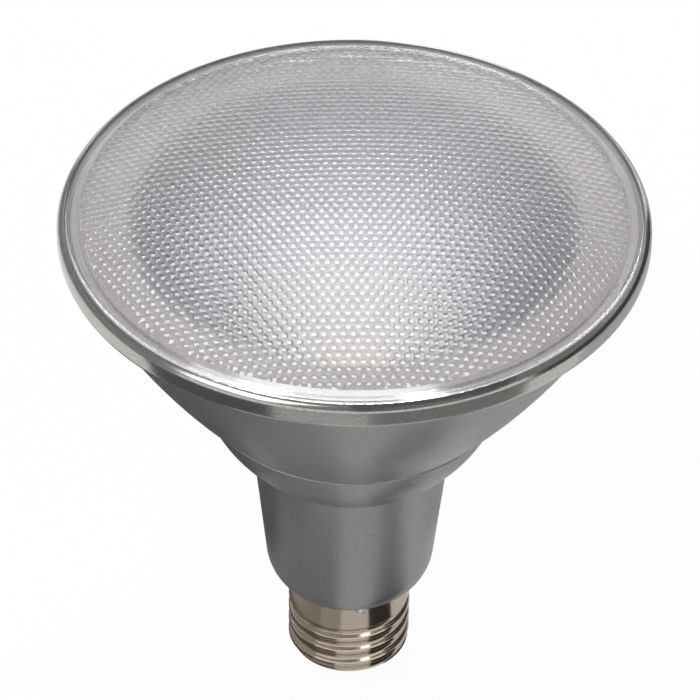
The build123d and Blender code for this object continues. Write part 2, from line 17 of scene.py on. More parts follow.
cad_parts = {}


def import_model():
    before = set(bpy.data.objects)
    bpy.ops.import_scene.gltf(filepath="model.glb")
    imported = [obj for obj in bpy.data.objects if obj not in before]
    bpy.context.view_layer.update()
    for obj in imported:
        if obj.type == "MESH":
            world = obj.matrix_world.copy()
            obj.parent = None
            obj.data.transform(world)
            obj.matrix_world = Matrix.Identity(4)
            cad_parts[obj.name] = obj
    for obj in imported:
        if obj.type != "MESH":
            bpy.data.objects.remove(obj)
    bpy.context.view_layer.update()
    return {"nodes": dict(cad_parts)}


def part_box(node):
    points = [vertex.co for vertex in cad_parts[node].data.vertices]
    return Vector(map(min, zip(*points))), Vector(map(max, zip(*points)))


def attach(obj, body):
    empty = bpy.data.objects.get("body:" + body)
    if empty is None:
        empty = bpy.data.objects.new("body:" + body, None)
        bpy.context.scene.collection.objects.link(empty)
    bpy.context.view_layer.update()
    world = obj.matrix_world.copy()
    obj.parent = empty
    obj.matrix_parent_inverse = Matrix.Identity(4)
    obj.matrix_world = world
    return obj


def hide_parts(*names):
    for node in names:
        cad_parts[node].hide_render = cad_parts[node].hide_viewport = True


log = logging.getLogger("spotlight")

MM = 0.001
ROOT = "root"
AXIS = (0, 0, 1)
ORIGIN = (0, 0, 0)
# Points that lie closer than this are the same point
TOLERANCE = 0.001 * MM
# Height of a triangle whose sides are 1
ROW_STEP = sqrt(3) / 2
# Paper and card are matt
PAPER_ROUGHNESS = 0.9


def to_linear(code: str, alpha: float = 1.0) -> tuple[float, float, float, float]:
    """Turn an sRGB hex colour into the linear colour that a socket takes.

    Args:
        code: Six hex digits, such as "c0c0c0".
        alpha: Opacity of the colour.

    Returns:
        Linear red, green and blue, and the opacity.
    """
    shares = [int(code[i : i + 2], 16) / 255 for i in (0, 2, 4)]
    # The curve of the sRGB standard: straight in the darks, and a power above them
    linear = [s / 12.92 if s <= 0.04045 else ((s + 0.055) / 1.055) ** 2.4 for s in shares]
    return (*linear, alpha)


def add_node(
    tree: bpy.types.NodeTree,
    kind: str,
    settings: dict[str, Any] | None = None,
    values: dict[str | int, Any] | None = None,
    links: dict[str | int, bpy.types.NodeSocket] | None = None,
) -> bpy.types.Node:
    """Add one node to a tree, with its settings, socket values and incoming links.

    Args:
        tree: The tree that gets the node.
        kind: Blender's name for the node type.
        settings: Properties of the node itself.
        values: Values of its input sockets, by name or number.
        links: Output sockets that feed its inputs, by the input's name or number.

    Returns:
        The new node.
    """
    node = tree.nodes.new(kind)
    for name, value in (settings or {}).items():
        setattr(node, name, value)
    for name, value in (values or {}).items():
        node.inputs[name].default_value = value
    for name, socket in (links or {}).items():
        tree.links.new(socket, node.inputs[name])
    return node


def new_material(name: str) -> tuple[bpy.types.Material, bpy.types.NodeTree, bpy.types.Node]:
    """Start a material.

    Args:
        name: Name of the material.

    Returns:
        The material, its node tree and its shader.
    """
    made = bpy.data.materials.new(name)
    made.use_nodes = True
    return made, made.node_tree, made.node_tree.nodes["Principled BSDF"]


def from_axis(tree: bpy.types.NodeTree, place: bpy.types.NodeSocket) -> bpy.types.NodeSocket:
    """Measure how far a point of the surface lies from the lamp's axis.

    Args:
        tree: The material's node tree.
        place: Object coordinates of the point.

    Returns:
        The distance.
    """
    flat = add_node(
        tree, "ShaderNodeVectorMath", {"operation": "MULTIPLY"}, {1: (1.0, 1.0, 0.0)}, {0: place}
    )
    distance = add_node(
        tree, "ShaderNodeVectorMath", {"operation": "LENGTH"}, links={0: flat.outputs["Vector"]}
    )
    return distance.outputs["Value"]


def smudged(
    tree: bpy.types.NodeTree,
    place: bpy.types.NodeSocket,
    rough: bpy.types.NodeSocket,
    width: float,
    most: float,
) -> bpy.types.NodeSocket:
    """Lay soft smudges over a roughness.

    Args:
        tree: The material's node tree.
        place: Object coordinates of the point.
        rough: The roughness without smudges.
        width: How wide a smudge is.
        most: What the strongest smudge adds.

    Returns:
        The roughness with the smudges.
    """
    smudges = add_node(
        tree,
        "ShaderNodeTexNoise",
        values={"Scale": 1 / width, "Detail": 2.0},
        links={"Vector": place},
    )
    total = add_node(
        tree,
        "ShaderNodeMath",
        {"operation": "MULTIPLY_ADD"},
        {1: most},
        {0: smudges.outputs["Fac"], 2: rough},
    )
    return total.outputs["Value"]


class Pattern(Enum):
    """What breaks up the even colour of a finish."""

    FLAKE = "metal flakes in lacquer"
    GRAIN = "moulded or sintered grain"
    DRAWN = "drawing lines round the axis"
    TURNS = "turns of wire or tape"
    TRACKS = "copper tracks under a mask"


# Scale of the coordinates, which draws the grain out to 50 times its height across the axis
DRAWN_STRETCH = (0.02, 0.02, 1.0)
# At a scale of 1, Blender's wave texture has this many bands in a length of 2 pi
WAVE_BANDS = 20
WAVE_WOBBLE = {"Distortion": 0.4, "Detail Scale": 0.5}
# Tracks are the bricks of a loose wall, and the gaps between them its mortar
TRACK_LAYOUT = {"offset": 0.37, "squash": 0.6, "squash_frequency": 3}
TRACK_SIZES = {"Mortar Size": 0.12, "Mortar Smooth": 0.2, "Brick Width": 1.7, "Row Height": 0.6}


@dataclass(frozen=True)
class Finish:
    """An opaque finish: one shader, and the pattern that its maker's process leaves on it.

    The colour goes from second, where the pattern is at start or below, to colour, where it is
    at 1. The roughness falls with it, by spread to each side.
    """

    name: str
    colour: str
    second: str
    pattern: Pattern
    grain_mm: float
    roughness: float
    metallic: float = 0.0
    start: float = 0.0
    spread: float = 0.05
    relief_mm: float = 0.01
    smudge_mm: float = 14.0
    smudge: float = 0.05
    coat: float = 0.0
    coat_roughness: float = 0.1
    ior: float = 1.5

    def texture(
        self, tree: bpy.types.NodeTree, place: bpy.types.NodeSocket
    ) -> tuple[bpy.types.NodeSocket, bpy.types.NodeSocket]:
        """Add the nodes of the pattern.

        Args:
            tree: The material's node tree.
            place: Object coordinates of the point.

        Returns:
            A socket from 0 to 1 for the colour, and one for the height.
        """
        cells = 1 / (self.grain_mm * MM)
        if self.pattern is Pattern.FLAKE:
            cell = add_node(
                tree, "ShaderNodeTexVoronoi", values={"Scale": cells}, links={"Vector": place}
            )
            split = add_node(
                tree, "ShaderNodeSeparateColor", links={"Color": cell.outputs["Color"]}
            )
            return split.outputs["Red"], cell.outputs["Distance"]
        if self.pattern is Pattern.TURNS:
            turns = add_node(
                tree,
                "ShaderNodeTexWave",
                {"wave_type": "BANDS", "bands_direction": "Z"},
                {"Scale": 2 * pi / WAVE_BANDS * cells, **WAVE_WOBBLE},
                {"Vector": place},
            )
            return turns.outputs["Fac"], turns.outputs["Fac"]
        if self.pattern is Pattern.TRACKS:
            flat = add_node(
                tree,
                "ShaderNodeMapping",
                values={"Rotation": (pi / 2, 0.0, 0.0)},
                links={"Vector": place},
            )
            tracks = add_node(
                tree,
                "ShaderNodeTexBrick",
                TRACK_LAYOUT,
                {"Scale": cells, **TRACK_SIZES},
                {"Vector": flat.outputs["Vector"]},
            )
            return tracks.outputs["Fac"], tracks.outputs["Fac"]
        if self.pattern is Pattern.DRAWN:
            lines = add_node(
                tree, "ShaderNodeMapping", values={"Scale": DRAWN_STRETCH}, links={"Vector": place}
            )
            place = lines.outputs["Vector"]
        grain = add_node(
            tree,
            "ShaderNodeTexNoise",
            values={"Scale": cells / 2, "Detail": 3.0},
            links={"Vector": place},
        )
        return grain.outputs["Fac"], grain.outputs["Fac"]

    def material(self) -> bpy.types.Material:
        """Make the material of this finish.

        Returns:
            The material, with its colour, roughness and height from the pattern.
        """
        made, tree, shader = new_material(self.name)
        place = add_node(tree, "ShaderNodeTexCoord").outputs["Object"]
        share, height = self.texture(tree, place)
        ramp = add_node(tree, "ShaderNodeValToRGB", links={"Fac": share})
        ramp.color_ramp.elements[0].position = self.start
        ramp.color_ramp.elements[0].color = to_linear(self.second)
        ramp.color_ramp.elements[1].color = to_linear(self.colour)
        tree.links.new(ramp.outputs["Color"], shader.inputs["Base Color"])
        fine = add_node(
            tree,
            "ShaderNodeMapRange",
            values={
                "To Min": self.roughness + self.spread,
                "To Max": self.roughness - self.spread,
            },
            links={"Value": share},
        )
        rough = smudged(tree, place, fine.outputs["Result"], self.smudge_mm * MM, self.smudge)
        tree.links.new(rough, shader.inputs["Roughness"])
        bump = add_node(
            tree,
            "ShaderNodeBump",
            values={"Distance": self.relief_mm * MM, "Strength": 1.0},
            links={"Height": height},
        )
        tree.links.new(bump.outputs["Normal"], shader.inputs["Normal"])
        shader.inputs["Metallic"].default_value = self.metallic
        shader.inputs["Coat Weight"].default_value = self.coat
        shader.inputs["Coat Roughness"].default_value = self.coat_roughness
        if self.metallic < 1.0:
            shader.inputs["IOR"].default_value = self.ior
        return made


@dataclass(frozen=True)
class ClearMoulding:
    """A clear moulded dome that is polished outside and etched on its underside.

    The underside is part of a ball of underside_radius round dome_centre, a height on the axis.
    It is etched up to etched_reach from the axis, and past that comes the satin border.
    """

    name: str
    colour: str
    ior: float
    polished: float
    etched: float
    dome_centre: float
    underside_radius: float
    etched_reach: float
    satin_border: float = 0.1
    fade_mm: float = 0.3
    smudge_mm: float = 18.0
    smudge: float = 0.02

    def etching(
        self, tree: bpy.types.NodeTree, place: bpy.types.NodeSocket
    ) -> bpy.types.NodeSocket:
        """Tell the polished outside, the etched underside and the satin border apart.

        Args:
            tree: The material's node tree.
            place: Object coordinates of the point.

        Returns:
            The roughness of each, without smudges.
        """
        from_centre = add_node(
            tree,
            "ShaderNodeVectorMath",
            {"operation": "DISTANCE"},
            {1: (0.0, 0.0, self.dome_centre)},
            {0: place},
        )
        fade = self.fade_mm * MM
        underside = add_node(
            tree,
            "ShaderNodeMapRange",
            values={
                "From Min": self.underside_radius + fade,
                "From Max": self.underside_radius + 2 * fade,
                "To Min": self.etched - self.polished,
                "To Max": 0.0,
            },
            links={"Value": from_centre.outputs["Value"]},
        )
        within = add_node(
            tree,
            "ShaderNodeMath",
            {"operation": "LESS_THAN"},
            {1: self.etched_reach},
            {0: from_axis(tree, place)},
        )
        outside = add_node(
            tree,
            "ShaderNodeMapRange",
            values={"To Min": self.satin_border, "To Max": self.polished},
            links={"Value": within.outputs["Value"]},
        )
        etch = add_node(
            tree,
            "ShaderNodeMath",
            {"operation": "MULTIPLY_ADD"},
            links={
                0: underside.outputs["Result"],
                1: within.outputs["Value"],
                2: outside.outputs["Result"],
            },
        )
        return etch.outputs["Value"]

    def material(self) -> bpy.types.Material:
        """Make the material of this clear plastic.

        Returns:
            The material, rough where the plastic is etched.
        """
        made, tree, shader = new_material(self.name)
        place = add_node(tree, "ShaderNodeTexCoord").outputs["Object"]
        etch = self.etching(tree, place)
        rough = smudged(tree, place, etch, self.smudge_mm * MM, self.smudge)
        tree.links.new(rough, shader.inputs["Roughness"])
        shader.inputs["Base Color"].default_value = to_linear(self.colour)
        shader.inputs["Transmission Weight"].default_value = 1.0
        shader.inputs["IOR"].default_value = self.ior
        return made


@dataclass(frozen=True)
class MaskedPlating:
    """Bright plating inside a moulding, which a round mask kept off the flange."""

    name: str
    plating: str
    plastic: str
    mask_radius: float
    plating_roughness: float
    plastic_roughness: float
    fade_mm: float = 0.15
    grain_mm: float = 0.6
    grain: float = 0.1

    def material(self) -> bpy.types.Material:
        """Make the material of the plated moulding.

        Returns:
            The material: metal inside the mask's edge, and plastic outside it.
        """
        made, tree, shader = new_material(self.name)
        place = add_node(tree, "ShaderNodeTexCoord").outputs["Object"]
        fade = self.fade_mm * MM
        bare = add_node(
            tree,
            "ShaderNodeMapRange",
            values={"From Min": self.mask_radius - fade, "From Max": self.mask_radius + fade},
            links={"Value": from_axis(tree, place)},
        ).outputs["Result"]
        ramp = add_node(tree, "ShaderNodeValToRGB", links={"Fac": bare})
        ramp.color_ramp.elements[0].color = to_linear(self.plating)
        ramp.color_ramp.elements[1].color = to_linear(self.plastic)
        tree.links.new(ramp.outputs["Color"], shader.inputs["Base Color"])
        metal = add_node(tree, "ShaderNodeMath", {"operation": "SUBTRACT"}, {0: 1.0}, {1: bare})
        tree.links.new(metal.outputs["Value"], shader.inputs["Metallic"])
        satin = add_node(
            tree,
            "ShaderNodeMapRange",
            values={"To Min": self.plating_roughness, "To Max": self.plastic_roughness},
            links={"Value": bare},
        )
        rough = smudged(tree, place, satin.outputs["Result"], 2 * self.grain_mm * MM, self.grain)
        tree.links.new(rough, shader.inputs["Roughness"])
        return made


# Moulded polycarbonate, polished tool: clear, with the faint lilac of its dye
CLEAR_LENS = ClearMoulding(
    "clear_polycarbonate",
    "f3f2f6",
    ior=1.58,
    polished=0.02,
    etched=0.28,
    dome_centre=-65.98 * MM,
    underside_radius=195.7 * MM,
    etched_reach=56.1 * MM,
)
# Aluminium-flake lacquer sprayed on plastic: a satin grey that glitters as the flakes turn.
# Real flakes are a fifth as wide, too fine to show, so they are drawn coarser.
HOUSING_PAINT = Finish(
    "silver_flake_lacquer",
    "b0b0b0",
    "a2a2a2",
    Pattern.FLAKE,
    grain_mm=0.22,
    roughness=0.38,
    metallic=0.9,
    relief_mm=0.008,
    coat=0.15,
)
# The same lacquer on the rim, over a smoother moulding: a sharper shine. Its colour is drawn
# brighter and warmer than the housing's, a painted highlight for the warm light that the rim
# mirrors
RIM_PAINT = Finish(
    "rim_flake_lacquer",
    "d0ceca",
    "b6b4b0",
    Pattern.FLAKE,
    grain_mm=0.2,
    roughness=0.13,
    metallic=0.95,
    start=0.6,
    relief_mm=0.004,
    coat=0.2,
)
# Nickel-plated drawn brass: a warm mirror, dulled by fine drawing lines, which are drawn
# coarser than real ones so that they show
NICKEL = Finish(
    "nickel_plated_brass",
    "d8cabb",
    "c8baaa",
    Pattern.DRAWN,
    grain_mm=0.25,
    roughness=0.14,
    metallic=1.0,
    spread=0.04,
    relief_mm=0.004,
)
# White moulding, its bowl plated to a satin silver and its flange left bare
PLATED_BOWL = MaskedPlating(
    "plated_white_moulding",
    plating="808086",
    plastic="908c86",
    mask_radius=46.0 * MM,
    plating_roughness=0.62,
    plastic_roughness=0.5,
)

# The record's slots. Of a finish come its name, two colours, pattern, grain in mm and roughness.
# A grain that is too fine to show is drawn as coarse as it needs to show.
FINISHES: dict[str, Finish | ClearMoulding | MaskedPlating] = {
    "clear_lens": CLEAR_LENS,
    "trim_paint": RIM_PAINT,
    "silver_paint": HOUSING_PAINT,
    "nickel_plate": NICKEL,
    "reflector_white": PLATED_BOWL,
    # Silicone rubber, moulded: dull and slightly dusty
    "gasket_rubber": Finish("silicone_rubber", "66666c", "5c5c62", Pattern.GRAIN, 0.2, 0.62),
    # Pressed aluminium, bare: rolled lines and a cool grey
    "bare_aluminium": Finish(
        "pressed_aluminium", "c2c4c7", "aeb0b4", Pattern.DRAWN, 0.3, 0.3, metallic=1.0
    ),
    # Filled silicone pad: chalky grey
    "pad_grey": Finish("filled_silicone_pad", "8c8f92", "808386", Pattern.GRAIN, 0.3, 0.8),
    # White solder mask over copper: glossy, with the tracks just showing
    "white_mask": Finish(
        "white_solder_mask", "e6e6e4", "dcdcd8", Pattern.TRACKS, 6.0, 0.3, relief_mm=0.03
    ),
    # Phosphor in silicone: matt yellow
    "phosphor": Finish("phosphor_in_silicone", "f0e0a0", "e8d488", Pattern.GRAIN, 0.15, 0.45),
    # Zinc-plated steel screw: bright, with a bluish cast
    "screw_steel": Finish(
        "zinc_plated_steel", "c4c8cc", "b2b6bb", Pattern.GRAIN, 0.2, 0.28, metallic=1.0
    ),
    # Green solder mask over copper: glossy, with the tracks in a lighter green
    "board_green": Finish(
        "green_solder_mask", "1f5a36", "2f7a48", Pattern.TRACKS, 3.0, 0.32, relief_mm=0.035
    ),
    # Pressed and sintered ferrite: dark grey, fine-grained
    "ferrite": Finish("sintered_ferrite", "3a3b3d", "2e2f31", Pattern.GRAIN, 0.15, 0.55),
    # Polyester tape over the winding's turns: a yellow gloss with soft ribs
    "winding_tape": Finish(
        "yellow_polyester_tape", "d8b030", "c49a22", Pattern.TURNS, 0.8, 0.25, relief_mm=0.05
    ),
    # Sleeve shrunk on a can: dark, with a soft gloss
    "capacitor_sleeve": Finish("dark_shrink_sleeve", "20242c", "171a20", Pattern.GRAIN, 0.4, 0.35),
    # Moulded epoxy box: a dull red ochre
    "capacitor_box": Finish("ochre_epoxy_box", "b5532a", "a64a24", Pattern.GRAIN, 0.3, 0.4),
    # Shrink sleeve over the choke's wire: dark, with the turns showing through
    "choke_sleeve": Finish(
        "choke_shrink_sleeve", "2a2a2c", "1e1e20", Pattern.TURNS, 0.5, 0.4, relief_mm=0.04
    ),
    # Epoxy powder dip: an orange-peel gloss
    "varistor_coat": Finish(
        "blue_epoxy_dip", "2a4f86", "234374", Pattern.GRAIN, 0.8, 0.3, relief_mm=0.04
    ),
    # Filled epoxy, transfer moulded: matt black
    "chip_black": Finish("black_epoxy_moulding", "1c1c1e", "141416", Pattern.GRAIN, 0.1, 0.6),
    # Flameproof lacquer on a ceramic rod: a dull grey-blue
    "resistor_body": Finish("flameproof_lacquer", "8fa6ac", "7f979e", Pattern.GRAIN, 0.3, 0.5),
    # Extruded insulation: an even colour with a soft gloss
    "red_insulation": Finish(
        "red_extruded_insulation", "b3262a", "a01f24", Pattern.GRAIN, 0.3, 0.4
    ),
    "black_insulation": Finish(
        "black_extruded_insulation", "1d1d1f", "151517", Pattern.GRAIN, 0.3, 0.4
    ),
    # Tinned copper wire, drawn: bright, with fine lines
    "tinned_wire": Finish(
        "tinned_copper", "c8c8c4", "b6b6b2", Pattern.DRAWN, 0.1, 0.25, metallic=1.0
    ),
    # Tin solder that set dull: a pale satin grey
    "solder": Finish(
        "tin_solder", "f0f0ee", "e4e4e0", Pattern.GRAIN, 0.6, 0.4, metallic=1.0, relief_mm=0.015
    ),
    # Vitrified insulator, pressed: black with a soft gloss
    "insulator_black": Finish("vitrified_insulator", "17171a", "0f0f12", Pattern.GRAIN, 0.4, 0.25),
    # Pressed brass button: a warm yellow, slightly dull
    "contact_brass": Finish(
        "pressed_brass", "c9a560", "b8944e", Pattern.GRAIN, 0.3, 0.25, metallic=1.0
    ),
}


def to_mesh(made: bmesh.types.BMesh, name: str) -> bpy.types.Mesh:
    """Turn a bmesh into a mesh.

    Args:
        made: The finished bmesh, which is freed.
        name: Name of the mesh.

    Returns:
        The new mesh.
    """
    mesh = bpy.data.meshes.new(name)
    made.to_mesh(mesh)
    made.free()
    return mesh


def placed(name: str, data: bpy.types.ID) -> bpy.types.Object:
    """Put a mesh, a light or a camera in the scene.

    Args:
        name: Name of the object.
        data: What the object holds.

    Returns:
        The new object, at the origin.
    """
    holder = bpy.data.objects.new(name, data)
    bpy.context.scene.collection.objects.link(holder)
    return holder


def piece_from(made: bmesh.types.BMesh, name: str, sharp_angle: float) -> bpy.types.Object:
    """Turn a bmesh into a smooth-shaded object that rides on the lamp.

    Args:
        made: The finished bmesh, which is freed.
        name: Name of the piece.
        sharp_angle: Angle between faces, in degrees, past which an edge is sharp.

    Returns:
        The new object, at the origin.
    """
    mesh = to_mesh(made, name)
    mesh.shade_smooth()
    mesh.set_sharp_from_angle(angle=radians(sharp_angle))
    piece = placed(name, mesh)
    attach(piece, ROOT)
    return piece


def spun(profile: list[tuple[float, float]], turns: int) -> bmesh.types.BMesh:
    """Turn a half section round the lamp's axis.

    Args:
        profile: Distances from the axis, and heights.
        turns: Steps of the full turn.

    Returns:
        A bmesh with its seam and its poles closed.
    """
    made = bmesh.new()
    points = [made.verts.new((r, 0.0, z)) for r, z in profile]
    section = [made.edges.new(pair) for pair in zip(points, points[1:])]
    bmesh.ops.spin(
        made,
        geom=points + section,
        cent=ORIGIN,
        axis=AXIS,
        angle=2 * pi,
        steps=turns,
        use_merge=True,
    )
    bmesh.ops.remove_doubles(made, verts=made.verts, dist=TOLERANCE)
    return made


class DressedPiece:
    """A piece that is built here in the place of a CAD node, with the finish of one slot."""

    slot: ClassVar[str]

    def dress(self, piece: bpy.types.Object, materials: dict[str, bpy.types.Material]) -> None:
        """Give a built piece the material of its slot."""
        piece.data.materials.append(materials[self.slot])


@dataclass
class Lens(DressedPiece):
    """Clear lens: a dome set all over with small bumps, a plain border, and a flange.

    The flange lies under the ring's lip. The bumps are round caps in a lattice of triangles.
    """

    slot: ClassVar[str] = "clear_lens"
    dome_radius: float = 197.7 * MM
    field_radius: float = 56.15 * MM
    rim_radius: float = 59.2 * MM
    flange_radius: float = 59.95 * MM
    edge_round: float = 0.8 * MM
    flange_thickness: float = 1.25 * MM
    wall: float = 2.0 * MM
    pitch: float = 1.98 * MM
    lattice_turn: float = 1.476
    bump_radius: float = 3.1 * MM
    air_gap: float = 0.03 * MM
    steps_per_side: int = 3
    spare_rows: int = 2
    seam: float = 0.08 * MM
    edge_support: float = 0.25 * MM
    round_steps: int = 10
    underside_rings: int = 14
    turns: int = 192
    sharp_angle: float = 16.0
    crown: float = field(init=False)
    foot: float = field(init=False)

    def __post_init__(self) -> None:
        """Read the lens's lowest and highest points from the CAD."""
        low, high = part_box("lens")
        self.foot = low.z + self.air_gap
        self.crown = high.z

    def dome(self, distance: float, inset: float = 0.0) -> float:
        """Height of the dome at a distance from the axis, or of a dome set into its wall."""
        radius = self.dome_radius - inset
        return self.crown - self.dome_radius + sqrt(radius**2 - distance**2)

    def bump(self, x: float, y: float) -> float:
        """Depth below the dome at a point of the field, which is set with small round caps.

        Args:
            x: Distance from the axis along the lattice's first direction.
            y: Distance across it.

        Returns:
            0 on a cap's top, and the most where three caps meet.
        """
        row = y / (self.pitch * ROW_STEP)
        column = x / self.pitch - row / 2
        nearest = self.pitch / sqrt(3)
        for i in (floor(column), floor(column) + 1):
            for j in (floor(row), floor(row) + 1):
                centre = Vector((self.pitch * (i + j / 2), self.pitch * j * ROW_STEP))
                nearest = min(nearest, (Vector((x, y)) - centre).length)
        return self.bump_radius - sqrt(self.bump_radius**2 - nearest**2)

    def dimpled_field(self) -> bmesh.types.BMesh:
        """Make the dome's bumpy field, with an even round edge.

        The triangles' sides run along the valleys, so each cap is a hexagon of whole triangles.

        Returns:
            A bmesh with one open edge, on a circle just inside the border.
        """
        step = self.pitch / sqrt(3) / self.steps_per_side
        reach = self.field_radius
        rows = int(reach / (step * ROW_STEP)) + self.spare_rows
        columns = int(reach / step + rows / 2) + self.spare_rows
        made = bmesh.new()
        bmesh.ops.create_grid(made, x_segments=2 * columns, y_segments=2 * rows, size=1.0)
        lattice = Matrix(
            (
                (0, rows * step * ROW_STEP, 0, 0),
                (columns * step, rows * step / 2, 0, 0),
                (0, 0, 1, 0),
                (0, 0, 0, 1),
            )
        )
        bmesh.ops.transform(made, matrix=lattice, verts=made.verts)
        outside = [v for v in made.verts if v.co.xy.length > reach]
        bmesh.ops.delete(made, geom=outside, context="VERTS")
        loose = [v for v in made.verts if not v.link_faces]
        bmesh.ops.delete(made, geom=loose, context="VERTS")
        bmesh.ops.triangulate(made, faces=made.faces, quad_method="SHORT_EDGE")
        rim = {v for e in made.edges if e.is_boundary for v in e.verts}
        for v in rim:
            v.co.xy *= reach / v.co.xy.length
        for v in made.verts:
            v.co.z = -self.bump(v.co.x, v.co.y)
        turn = Matrix.Rotation(radians(self.lattice_turn), 4, "Z")
        bmesh.ops.transform(made, matrix=turn, verts=made.verts)
        for v in made.verts:
            v.co.z += self.dome(v.co.xy.length)
        return made

    def border_profile(self) -> list[tuple[float, float]]:
        """Draw the half section from the field's edge to the middle of the underside.

        Returns:
            Distances from the axis and heights, over the rim and the flange.
        """
        plain = self.field_radius + self.seam
        shoulder = self.rim_radius - self.edge_round
        rings = (plain, plain + self.edge_support, shoulder - self.edge_support)
        dome = [(r, self.dome(r)) for r in rings]
        angles = [pi / 2 * i / self.round_steps for i in range(self.round_steps + 1)]
        arc = [
            (
                self.rim_radius - self.edge_round * (1 - sin(a)),
                self.dome(shoulder) - self.edge_round * (1 - cos(a)),
            )
            for a in angles
        ]
        bezel = self.foot + self.flange_thickness
        flange = [
            (self.rim_radius, bezel),
            (self.flange_radius, bezel),
            (self.flange_radius, self.foot),
            (self.field_radius, self.foot),
        ]
        inward = range(self.underside_rings, -1, -1)
        distances = [self.field_radius * k / self.underside_rings for k in inward]
        under = [(r, self.dome(r, self.wall)) for r in distances]
        return dome + arc + flange + under

    def crease_border(self, mesh: bpy.types.Mesh) -> None:
        """Keep the plain border's shading apart from the cut caps along its inner edge.

        Args:
            mesh: The lens's mesh, whose edges on that circle become sharp.
        """
        plain = self.field_radius + self.seam
        reach = self.seam / 4
        for edge in mesh.edges:
            distances = [mesh.vertices[v].co.xy.length for v in edge.vertices]
            if all(abs(distance - plain) < reach for distance in distances):
                edge.use_edge_sharp = True

    def build(self) -> bpy.types.Object:
        """Build the lens, and put it in the place of the plain CAD lens.

        Returns:
            The piece.
        """
        made = self.dimpled_field()
        border = to_mesh(spun(self.border_profile(), self.turns), "border")
        made.from_mesh(border)
        bpy.data.meshes.remove(border)
        open_edges = [e for e in made.edges if e.is_boundary]
        bmesh.ops.bridge_loops(made, edges=open_edges)
        bmesh.ops.recalc_face_normals(made, faces=made.faces)
        piece = piece_from(made, "dimpled_lens", self.sharp_angle)
        self.crease_border(piece.data)
        # Light gets in as if the clear lens weren't there, which keeps the render free of grain
        piece.visible_shadow = False
        piece.visible_diffuse = False
        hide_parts("lens")
        return piece


@dataclass
class Reflector(DressedPiece):
    """Deep bowl round the light engine: its inside is plated, and its flange is bare plastic."""

    slot: ClassVar[str] = "reflector_white"
    wall: float = 1.2 * MM
    mouth_radius: float = 45.3 * MM
    foot_radius: float = 20.0 * MM
    arc_radius: float = 60.0 * MM
    collar_height: float = 2.3 * MM
    flange_thickness: float = 0.6 * MM
    lip_round: float = 0.9 * MM
    lip_steps: int = 4
    arc_steps: int = 16
    turns: int = 128
    sharp_angle: float = 40.0

    def arc(
        self, centre: Vector, radius: float, low: float, high: float
    ) -> list[tuple[float, float]]:
        """Points of a section's arc from one height to another."""
        heights = (low + (high - low) * i / self.arc_steps for i in range(self.arc_steps + 1))
        return [(centre.x + sqrt(radius**2 - (z - centre.y) ** 2), z) for z in heights]

    def profile(self, low: Vector, high: Vector) -> list[tuple[float, float]]:
        """Draw the half section: up the inside, over the flange, and down the back.

        Args:
            low: Lowest corner of the CAD reflector's box.
            high: Highest corner of it.

        Returns:
            Distances from the axis and heights, ending where they start.
        """
        z_flare = low.z + self.collar_height
        z_flange = high.z - self.flange_thickness
        foot = Vector((self.foot_radius, z_flare))
        mouth = Vector((self.mouth_radius, high.z))
        chord = mouth - foot
        reach = sqrt(self.arc_radius**2 - (chord.length / 2) ** 2)
        centre = (foot + mouth) / 2 + Vector((-chord.y, chord.x)).normalized() * reach
        return [
            (self.foot_radius, low.z),
            *self.arc(centre, self.arc_radius, z_flare, high.z),
            (high.x, high.z),
            (high.x, z_flange),
            *self.arc(centre, self.arc_radius + self.wall, z_flange, z_flare + self.wall),
            (self.foot_radius + self.wall, z_flare),
            (self.foot_radius + self.wall, low.z),
            (self.foot_radius, low.z),
        ]

    def build(self) -> bpy.types.Object:
        """Build the reflector with a rounded lip, and put it in the place of the sharp CAD one.

        Returns:
            The piece.
        """
        low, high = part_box("reflector")
        made = spun(self.profile(low, high), self.turns)
        on_lip = {
            v
            for v in made.verts
            if abs(v.co.xy.length - self.mouth_radius) < TOLERANCE
            and abs(v.co.z - high.z) < TOLERANCE
        }
        bmesh.ops.bevel(
            made,
            geom=[e for e in made.edges if on_lip.issuperset(e.verts)],
            offset=self.lip_round,
            segments=self.lip_steps,
            profile=0.5,
            affect="EDGES",
            material=-1,
        )
        bmesh.ops.recalc_face_normals(made, faces=made.faces)
        piece = piece_from(made, "plated_reflector", self.sharp_angle)
        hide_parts("reflector")
        return piece


